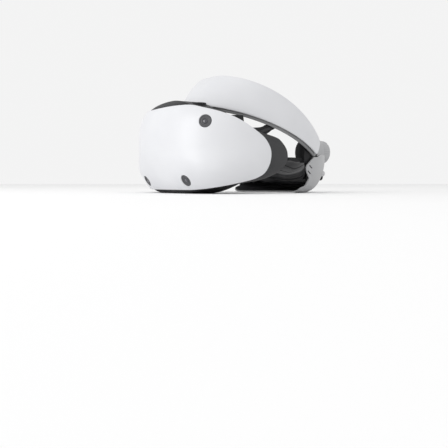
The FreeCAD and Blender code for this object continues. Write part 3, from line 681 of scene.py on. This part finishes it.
rib_map(forehead, brow_ribs)
finish_piece(forehead, "headband", "pad_cover", ["forehead_pad"], "ribbed_pad", 0)


REAR_SPAN, REAR_DRAWN = 72.0, 69.5  # turn from the back that shares are counted over, and where the pad ends


def rear_lip(theta):
    """Radius share and height of the rear pad's inner edge."""
    share = abs(theta - 180) / REAR_SPAN
    return 0.50 + 0.29 * share ** 1.2, 24.0 + 16.0 * share ** 2


def rear_pad_loop(theta):
    """Section of the rear pad: up the cradle's wall and in under the back of the head."""
    share = abs(theta - 180) / REAR_SPAN
    lip_r, lip_z = rear_lip(theta)
    heel = (0.69 + 0.075 * share, 6.6 + 3.0 * share ** 2)
    corners = [(0.852, 45.6), (0.838, 27), (0.795, 14), heel, (lip_r + 0.045, lip_z - 7),
               (lip_r + 0.014, lip_z - 0.5), (0.705 + 0.08 * share, 26.5 + 14 * share), (0.795, 45.6)]
    loop, points = [], 6
    for i, (r0, z0) in enumerate(corners):
        r1, z1 = corners[(i + 1) % len(corners)]
        for k in range(points):
            loop.append(wrap_point(lerp(r0, r1, k / points), theta, lerp(z0, z1, k / points)))
    return loop


rear_turns = [180 + lerp(-REAR_DRAWN, REAR_DRAWN, i / 56) for i in range(57)]
rear_cushion = closed_form("rear_cushion", [rear_pad_loop(theta) for theta in rear_turns])


def clear_of(piece, keep):
    """Push points back to a limit; keep(x, y, z) gives the corrected point in mm."""
    for vertex in piece.data.vertices:
        x, y, z = (c / MM for c in vertex.co)
        vertex.co = metres(keep(x, y + BACK, z))


TAIL_BACK, TAIL_UNDER = 63.0, 43.4  # space of the band's ends: its rear y and its floor
GUIDE_BACK, GUIDE_LOW, GUIDE_X = 58.5, 35.0, 63.0  # space of the arm guides: rear y, floor and nearest x


def under_band(x, y, z):
    """Keep the rear pad under the band's ends and between the arm guides."""
    if y < TAIL_BACK:
        z = min(z, TAIL_UNDER)
    if y < GUIDE_BACK and z > GUIDE_LOW and abs(x) > GUIDE_X:
        x = math.copysign(GUIDE_X, x)
    return x, y, z


clear_of(rear_cushion, under_band)
inflate(rear_cushion, 3.6, 1.4)
clear_of(rear_cushion, under_band)


RIB_PITCH = 9.5


def rear_ribs(theta, r, z):
    """Ribs that run along the pad, counted from its inner edge."""
    lip_r, lip_z = rear_lip(theta if theta > 0 else theta + 360)
    return math.hypot((r - lip_r) * HEAD_SCALE, z - lip_z) / RIB_PITCH


rib_map(rear_cushion, rear_ribs)
finish_piece(rear_cushion, "rear_cradle", "pad_cover", ["rear_pad"], "ribbed_pad", 0)

# ------------------------------------------------------------------ light shield
# sections of the shield: y, half width, lowest and highest point
SHIELD = [(-73.0, 75.5, 12.0, 83.0), (-45.0, 80.0, 8.5, 83.0), (-15.0, 81.0, 9.0, 82.0),
          (12.0, 80.0, 16.0, 76.0)]
# its rear edge seen from the side: height, y
SHIELD_SIDE = [(9, -74), (11.3, -36), (19.6, -6), (33, 7), (46, 9), (57, 4), (66, -4), (70, -17),
               (79, -40), (85, -74)]
SHIELD_FRONT, SHIELD_WALL, SHIELD_POWER = -73.0, 2.3, 2.8
RIPPLE, RIPPLE_PITCH = 0.35, 9.0  # depth and spacing of the bellows near the visor
NOSE_HEIGHT, NOSE_RADIUS, FACE_SHARE, PAD_ROOM = 12.0, 17.0, 0.80, 1.6


def shield_point(angle, y, inset):
    """A point of the shield's wall: angle runs round the opening from its top."""
    half, low, high = (between(SHIELD, column, y) for column in (1, 2, 3))
    s, c = math.sin(math.radians(angle)), math.cos(math.radians(angle))
    wave = math.sin(2 * math.pi * (y - SHIELD_FRONT) / RIPPLE_PITCH)
    inward = inset + RIPPLE * wave * min(max((-30.0 - y) / 12.0, 0), 1)
    across = (half - inward) * math.copysign(abs(s) ** (2 / SHIELD_POWER), s)
    rise = ((high - low) / 2 - inward) * math.copysign(abs(c) ** (2 / SHIELD_POWER), c)
    return across, y, (low + high) / 2 + rise


def shield_blocked(x, y, z):
    """True where the shield gives way to the head, the nose, its own side outline or the forehead pad."""
    if y > spline(SHIELD_SIDE, z) or math.hypot(x, z - NOSE_HEIGHT) < NOSE_RADIUS:
        return True
    if math.hypot(x / (FACE_SHARE * BAND_X), (y - BAND_CENTRE) / (FACE_SHARE * BAND_Y)) < 1:
        return True
    across, fore = x / BAND_X, (BAND_CENTRE - y) / BAND_Y
    turn, r = abs(math.degrees(math.atan2(across, fore))), math.hypot(across, fore)
    if turn > 80 or r > 0.935 or r < 0.7:
        return False
    return abs(z - between(PAD_RUN, 1, turn)) < between(PAD_RUN, 2, turn) + PAD_ROOM


def shield_end(angle):
    """How far back the wall reaches at an angle before it has to give way."""
    y = SHIELD_FRONT + 0.5
    while y < 10.0 and not shield_blocked(*shield_point(angle, y, 0.0)):
        y += 0.25
    return y


def build_shield():
    """The light shield: a wall with a soft lip, open to the visor and to the face."""
    turns, rows = 180, 36
    ends = [shield_end(360.0 * k / turns) for k in range(turns)]
    for _ in range(2):
        ends = [(ends[k - 1] + 2 * ends[k] + ends[(k + 1) % turns]) / 4 for k in range(turns)]
    loops = []
    for k, end in enumerate(ends):
        angle = 360.0 * k / turns
        places = [lerp(SHIELD_FRONT, end, (i / (rows - 1)) ** 0.9) for i in range(rows)]
        outer = [shield_point(angle, y, 0.0) for y in places]
        inner = [shield_point(angle, y, SHIELD_WALL) for y in places]
        lip = shield_point(angle, end + 0.9, SHIELD_WALL / 2)
        loops.append(outer + [lip] + inner[::-1])
    verts, faces = quad_skin(loops, closed=True)
    add_piece("face_shield", verts, faces, "visor", "soft_rubber", ["light_shield"], None, 35)


build_shield()

# ------------------------------------------------------------------ rear shell and dial
BOWL_TURN, BOWL_TOP = 77.0, 47.0  # degrees its sides reach from the back, and height of its top edge
# middle section of the bowl from its bottom lip to its top edge: radius share, height
BOWL = [(0.58, -0.9), (0.74, 1.2), (0.86, 8.0), (0.945, 20.0), (0.99, 34.0), (0.995, BOWL_TOP)]


def bowl_at(theta, share):
    """Radius share and height on the bowl's outer face, from its bottom lip (0) to its top edge (1)."""
    spread = min(abs(theta - 180) / BOWL_TURN, 1.0)
    place = share * (len(BOWL) - 1)
    r = spline([(i, p[0]) for i, p in enumerate(BOWL)], place)
    z = spline([(i, p[1]) for i, p in enumerate(BOWL)], place)
    r = 1 - (1 - r) * (1 - 0.45 * spread ** 2) - 0.03 * spread ** 3
    z = max(z + 1.5 * spread ** 4 * (1 - z / BOWL_TOP), 0.0)
    wing = smooth_step(54.0, 62.0, abs(theta - 180))
    return r, z - wing * 3.4 * smooth_step(0.7, 1.0, share)


# front edge of the bowl's side: height, turn from the back where it ends
BOWL_END = [(-1, BOWL_TURN), (3.5, BOWL_TURN), (5.5, 76.0), (8, 71.8), (13, 71.2), (18, 70.3), (22, 73.4),
            (31, 76.4), (38, 72.5), (44, 67.0), (48, 66.0)]


def bowl_piece(name, near, far, short, slot_name):
    """One layer of the cradle, between two depths under its outer face, that ends short degrees early."""
    columns, steps = 26, 110
    shares = [i / (columns - 1) for i in range(columns)]
    loops = []
    for i in range(steps):
        t = 2 * i / (steps - 1) - 1
        outer, inner = [], []
        for share in shares:
            _, z = bowl_at(180 + BOWL_TURN * t, share)
            theta = 180 + t * (spline(BOWL_END, z) - short)
            r, z = bowl_at(theta, share)
            r0, z0 = bowl_at(theta, max(share - 0.01, 0))
            r1, z1 = bowl_at(theta, min(share + 0.01, 1))
            run, rise = (r1 - r0) * HEAD_SCALE, z1 - z0
            length = max(math.hypot(run, rise), 1e-6)
            for layer, depth in ((outer, near), (inner, far)):
                inward = depth * rise / length / HEAD_SCALE
                layer.append(wrap_point(r - inward, theta, z + depth * run / length))
        loops.append(outer + inner[::-1])
    verts, faces = strip_skin(loops)
    return add_piece(name, verts, faces, "rear_cradle", slot_name, ["rear_shell"])


VENTS = [(47.5, 31.6), (45.5, 25.0)]  # y and height of the two slanted vents in each side
VENT_SIZE, VENT_SLANT, VENT_X = (0.030, 0.0075, 0.0016), -32.0, 80.0  # cutter in metres, degrees, mm


def cut_vents(shell):
    """Cut the vents through both sides of the cradle's shell."""
    for y, z in VENTS:
        for side in (-1, 1):
            mesh = bpy.data.meshes.new("vent_cutter")
            box = bmesh.new()
            bmesh.ops.create_cube(box, size=1.0)
            box.to_mesh(mesh)
            box.free()
            cutter = bpy.data.objects.new("vent_cutter", mesh)
            cutter.scale = VENT_SIZE
            cutter.rotation_euler = (math.radians(VENT_SLANT), 0, 0)
            cutter.location = metres((side * VENT_X, y, z))
            bpy.context.collection.objects.link(cutter)
            cut_away(shell, cutter)


DIAL_HEIGHT = 54.0


def build_hub():
    """The round housing behind the dial, flared into the bowl below it."""
    # radius, y
    profile = [(17.8, 118.4), (17.8, 120.4), (18.6, 120.9), (19.4, 120.6), (19.9, 119.6), (20.0, 116.0),
               (20.3, 112.5), (21.0, 109.6), (21.4, 107.6), (19.0, 107.4), (17.7, 108.0)]
    segments, loops = 72, []
    for k in range(segments):
        a = 2 * math.pi * k / segments
        flare = 1.0 + 0.16 * max(-math.cos(a), 0) ** 2
        loop = []
        for radius, y in profile:
            reach = radius * lerp(1.0, flare, smooth_step(118.0, 108.0, y))
            loop.append((reach * math.sin(a), y, DIAL_HEIGHT + radius * math.cos(a)))
        loops.append(loop)
    verts, faces = quad_skin(loops, closed=True)
    add_piece("hub_housing", verts, faces, "rear_cradle", "grey_plastic", ["rear_shell"])


def build_dial():
    """Adjusting dial: a rounded wheel with fine grip flutes and one notch in its rim."""
    # radius, y
    profile = [(7.7, 122.0), (14.6, 121.6), (15.5, 122.2), (15.9, 123.4), (16.0, 129.0), (15.9, 133.6),
               (15.4, 135.7), (14.3, 136.9), (13.0, 137.3), (11.5, 137.2), (9.6, 136.2), (8.4, 135.8),
               (7.7, 136.2)]
    segments, flutes, notch_at = 216, 36, 40.0
    loops = []
    for k in range(segments):
        a = 2 * math.pi * k / segments
        flute = 0.32 * (0.5 + 0.5 * math.cos(flutes * a))
        notch = 1.6 * math.exp(-((math.degrees(a) - notch_at) / 4.0) ** 2)
        loop = []
        for radius, y in profile:
            grip = flute * smooth_step(14.8, 15.9, radius)
            grip += notch * smooth_step(13.5, 15.5, radius) * smooth_step(131.0, 135.0, y)
            loop.append(((radius - grip) * math.sin(a), y, DIAL_HEIGHT + (radius - grip) * math.cos(a)))
        loops.append(loop)
    verts, faces = quad_skin(loops, closed=True)
    add_piece("dial_wheel", verts, faces, "dial", "grey_plastic", ["adjust_dial"], None, 30)


def build_collar(name, spot, bore, outer, length, slot_name, replaced):
    """A short rounded collar round a bore that opens to the back."""
    profile = [(bore, 0.0), (bore, length - 0.8), (bore + 0.5, length), (outer - 0.5, length),
               (outer, length - 0.5), (outer, 0.0)]
    verts, faces = lathe(profile, Vector(spot), Vector((0, 1, 0)), 48)
    add_piece(name, verts, faces, "rear_cradle", slot_name, [replaced], None, 30)


cradle = bowl_piece("cradle_shell", 0.0, 1.6, 0.0, "grey_plastic")
cut_vents(cradle)
bowl_piece("cradle_lining", 1.7, 2.6, 0.6, "black_plastic")
build_collar("socket_collar", (54.0, 82.5, 24.0), 1.8, 3.4, 6.2, "steel", "earphone_socket")
build_collar("gland_collar", (34.0, 94.5, 20.0), 2.6, 4.6, 8.0, "black_plastic", "cable_gland")
build_hub()
build_dial()


# ------------------------------------------------------------------ stage, light and camera
def build_stage():
    """A wide pale floor and an even white surround."""
    mesh = bpy.data.meshes.new("floor")
    size = 6.0
    corners = [(-size, -size, 0), (size, -size, 0), (size, size, 0), (-size, size, 0)]
    mesh.from_pydata(corners, [], [(0, 1, 2, 3)])
    floor = bpy.data.objects.new("floor", mesh)
    bpy.context.collection.objects.link(floor)
    material, tree, shader = new_material("pale_floor")
    tone = texture_noise(tree, 1.5, 2.0)
    shades = ramp(tree, tone, [(0.2, (0.90, 0.90, 0.90)), (0.8, (0.93, 0.93, 0.93))])
    tree.links.new(shades, shader.inputs["Base Color"])
    shader.inputs["Roughness"].default_value = 0.9
    shader.inputs["Specular IOR Level"].default_value = 0.1
    floor.data.materials.append(material)
    world = bpy.data.worlds.new("studio")
    world.use_nodes = True
    backdrop = world.node_tree.nodes["Background"]
    backdrop.inputs["Color"].default_value = (1.0, 1.0, 1.0, 1)
    backdrop.inputs["Strength"].default_value = 0.90
    bpy.context.scene.world = world


def area_light(name, place, aim, size, power):
    data = bpy.data.lights.new(name, "AREA")
    data.size = size
    data.energy = power
    lamp = bpy.data.objects.new(name, data)
    lamp.location = place
    lamp.rotation_mode = "QUATERNION"
    lamp.rotation_quaternion = (Vector(aim) - Vector(place)).to_track_quat("-Z", "Y")
    bpy.context.collection.objects.link(lamp)


def build_lights():
    target = (0, 0, 0.07)
    area_light("key_front", (0.0, -1.45, 0.42), target, 0.9, 8.5)
    area_light("fill_right", (1.4, -0.1, 0.5), target, 0.9, 0.3)
    area_light("top_soft", (0.1, 0.2, 1.4), target, 1.0, 1.2)


def build_camera():
    """The photograph's viewpoint: 55 degrees round from the front and near the floor."""
    distance, turn, height = 0.800, math.radians(55.0), 0.012
    data = bpy.data.cameras.new("camera")
    data.sensor_width = 36.0
    data.lens = 50.4643
    data.clip_start = 0.002
    camera = bpy.data.objects.new("camera", data)
    camera.location = (distance * math.sin(turn), -distance * math.cos(turn) - BACK * MM, height)
    yaw, pitch = math.radians(1.64), math.radians(-3.73)  # how far it looks aside of the head and down
    heading = turn + yaw
    level = math.cos(pitch)
    aim = Vector((-math.sin(heading) * level, math.cos(heading) * level, math.sin(pitch)))
    camera.rotation_mode = "QUATERNION"
    camera.rotation_quaternion = aim.to_track_quat("-Z", "Y")
    bpy.context.collection.objects.link(camera)
    bpy.context.scene.camera = camera


build_stage()
build_lights()
build_camera()
bpy.context.scene.view_settings.view_transform = "Standard"
